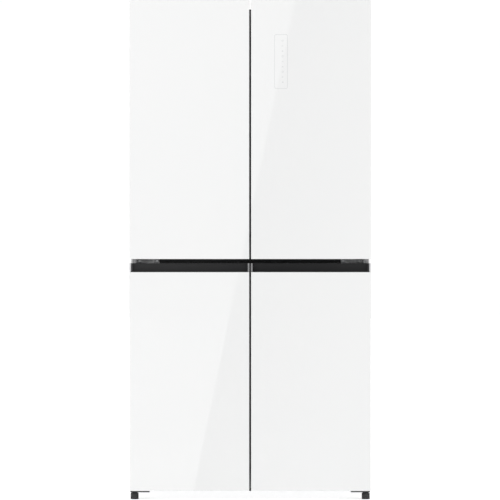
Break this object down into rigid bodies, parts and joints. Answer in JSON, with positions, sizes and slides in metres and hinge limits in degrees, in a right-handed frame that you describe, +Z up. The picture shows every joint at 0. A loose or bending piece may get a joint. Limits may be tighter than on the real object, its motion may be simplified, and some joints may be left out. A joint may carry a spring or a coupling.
{
  "type": "four-door refrigerator",
  "caption": "Tall free-standing refrigerator with white glass doors over freezer doors, dark recessed grips, shelves, bins and drawers inside.",
  "frame": {"origin": "on the floor under the middle of the object", "axes": "+X to the right seen from the front, the doors face -Y, +Z up"},
  "size_m": [0.883, 0.7, 1.83],
  "materials": {
    "white_glass": "gloss",
    "white_paint": "satin",
    "zinc_steel": "satin",
    "dark_metal": "satin",
    "charcoal_plastic": "satin",
    "white_plastic": "satin",
    "door_casing": "satin",
    "gasket_rubber": "matte",
    "foam": "matte",
    "clear_plastic": "gloss",
    "shelf_glass": "gloss",
    "aluminium_fins": "satin",
    "black_plastic": "satin",
    "compressor_paint": "gloss"
  },
  "bodies": {
    "cabinet": {"outer_case": "white_paint", "front_frame": "white_paint", "back_panel": "zinc_steel", "base_panel": "zinc_steel", "compressor_plate": "zinc_steel", "insulation_foam": "foam", "fridge_liner": "white_plastic", "freezer_liners": "white_plastic", "top_hinges": "zinc_steel", "top_hinge_covers": "white_plastic", "middle_hinges": "zinc_steel", "bottom_hinges": "dark_metal", "hinge_screws": "zinc_steel", "fridge_duct_panel": "white_plastic", "freezer_duct_panels": "white_plastic", "evaporator": "aluminium_fins", "compressor": "compressor_paint", "condenser": "aluminium_fins", "condenser_fan_frame": "black_plastic", "machine_room_cover": "zinc_steel", "cord_gland": "black_plastic", "shelf_glasses": "shelf_glass", "shelf_trims": "white_plastic", "mullion_guide": "white_plastic"},
    "flip_mullion": {"flip_mullion": "white_plastic"},
    "condenser_fan": {"condenser_fan": "black_plastic"},
    "evaporator_fan": {"evaporator_fan": "black_plastic"},
    "foot_left": {"foot_left": "black_plastic"},
    "roller_left": {"roller_left": "black_plastic"},
    "crisper_left": {"crisper_left": "clear_plastic"},
    "drawer_left_low": {"drawer_left_low": "clear_plastic"},
    "drawer_left_middle": {"drawer_left_middle": "clear_plastic"},
    "drawer_left_high": {"drawer_left_high": "clear_plastic"},
    "door_upper_left": {"glass_upper_left": "white_glass", "slab_upper_left": "door_casing", "liner_upper_left": "white_plastic", "gasket_upper_left": "gasket_rubber", "bins_upper_left": "clear_plastic"},
    "door_lower_left": {"glass_lower_left": "white_glass", "slab_lower_left": "door_casing", "liner_lower_left": "white_plastic", "gasket_lower_left": "gasket_rubber", "grip_lower_left": "charcoal_plastic"},
    "foot_right": {"foot_right": "black_plastic"},
    "roller_right": {"roller_right": "black_plastic"},
    "crisper_right": {"crisper_right": "clear_plastic"},
    "drawer_right_low": {"drawer_right_low": "clear_plastic"},
    "drawer_right_middle": {"drawer_right_middle": "clear_plastic"},
    "drawer_right_high": {"drawer_right_high": "clear_plastic"},
    "door_upper_right": {"glass_upper_right": "white_glass", "slab_upper_right": "door_casing", "liner_upper_right": "white_plastic", "gasket_upper_right": "gasket_rubber", "bins_upper_right": "clear_plastic", "touch_control": "black_plastic"},
    "door_lower_right": {"glass_lower_right": "white_glass", "slab_lower_right": "door_casing", "liner_lower_right": "white_plastic", "gasket_lower_right": "gasket_rubber", "grip_lower_right": "charcoal_plastic"}
  },
  "joints": [
    {"name": "door_upper_left_hinge", "type": "hinge", "parent": "cabinet", "child": "door_upper_left", "pos_m": [-0.4215, -0.315, 1.2], "axis": [0, 0, -1], "range_deg": [0, 120]},
    {"name": "door_upper_right_hinge", "type": "hinge", "parent": "cabinet", "child": "door_upper_right", "pos_m": [0.4215, -0.315, 1.2], "axis": [0, 0, 1], "range_deg": [0, 120]},
    {"name": "door_lower_left_hinge", "type": "hinge", "parent": "cabinet", "child": "door_lower_left", "pos_m": [-0.4215, -0.315, 0.45], "axis": [0, 0, -1], "range_deg": [0, 120]},
    {"name": "door_lower_right_hinge", "type": "hinge", "parent": "cabinet", "child": "door_lower_right", "pos_m": [0.4215, -0.315, 0.45], "axis": [0, 0, 1], "range_deg": [0, 120]},
    {"name": "mullion_flip", "type": "hinge", "parent": "door_upper_left", "child": "flip_mullion", "pos_m": [-0.027, -0.2657, 1.3], "axis": [0, 0, 1], "range_deg": [-90, 0]},
    {"name": "crisper_left_slide", "type": "slide", "parent": "cabinet", "child": "crisper_left", "axis": [0, -1, 0], "range_m": [0, 0.03]},
    {"name": "drawer_left_low_slide", "type": "slide", "parent": "cabinet", "child": "drawer_left_low", "axis": [0, -1, 0], "range_m": [0, 0.04]},
    {"name": "drawer_left_middle_slide", "type": "slide", "parent": "cabinet", "child": "drawer_left_middle", "axis": [0, -1, 0], "range_m": [0, 0.04]},
    {"name": "drawer_left_high_slide", "type": "slide", "parent": "cabinet", "child": "drawer_left_high", "axis": [0, -1, 0], "range_m": [0, 0.04]},
    {"name": "crisper_right_slide", "type": "slide", "parent": "cabinet", "child": "crisper_right", "axis": [0, -1, 0], "range_m": [0, 0.03]},
    {"name": "drawer_right_low_slide", "type": "slide", "parent": "cabinet", "child": "drawer_right_low", "axis": [0, -1, 0], "range_m": [0, 0.04]},
    {"name": "drawer_right_middle_slide", "type": "slide", "parent": "cabinet", "child": "drawer_right_middle", "axis": [0, -1, 0], "range_m": [0, 0.04]},
    {"name": "drawer_right_high_slide", "type": "slide", "parent": "cabinet", "child": "drawer_right_high", "axis": [0, -1, 0], "range_m": [0, 0.04]},
    {"name": "evaporator_fan_spin", "type": "hinge", "parent": "cabinet", "child": "evaporator_fan", "pos_m": [-0.21225, 0.24, 0.7575], "axis": [0, 1, 0], "continuous": true},
    {"name": "condenser_fan_spin", "type": "hinge", "parent": "cabinet", "child": "condenser_fan", "pos_m": [-0.05, 0.24, 0.129], "axis": [1, 0, 0], "continuous": true},
    {"name": "foot_left_turn", "type": "hinge", "parent": "cabinet", "child": "foot_left", "pos_m": [-0.4245, -0.292, 0.012], "axis": [0, 0, 1], "continuous": true},
    {"name": "roller_left_spin", "type": "hinge", "parent": "cabinet", "child": "roller_left", "pos_m": [-0.4245, 0.3, 0.015], "axis": [1, 0, 0], "continuous": true},
    {"name": "foot_right_turn", "type": "hinge", "parent": "cabinet", "child": "foot_right", "pos_m": [0.4245, -0.292, 0.012], "axis": [0, 0, 1], "continuous": true},
    {"name": "roller_right_spin", "type": "hinge", "parent": "cabinet", "child": "roller_right", "pos_m": [0.4245, 0.3, 0.015], "axis": [1, 0, 0], "continuous": true}
  ]
}
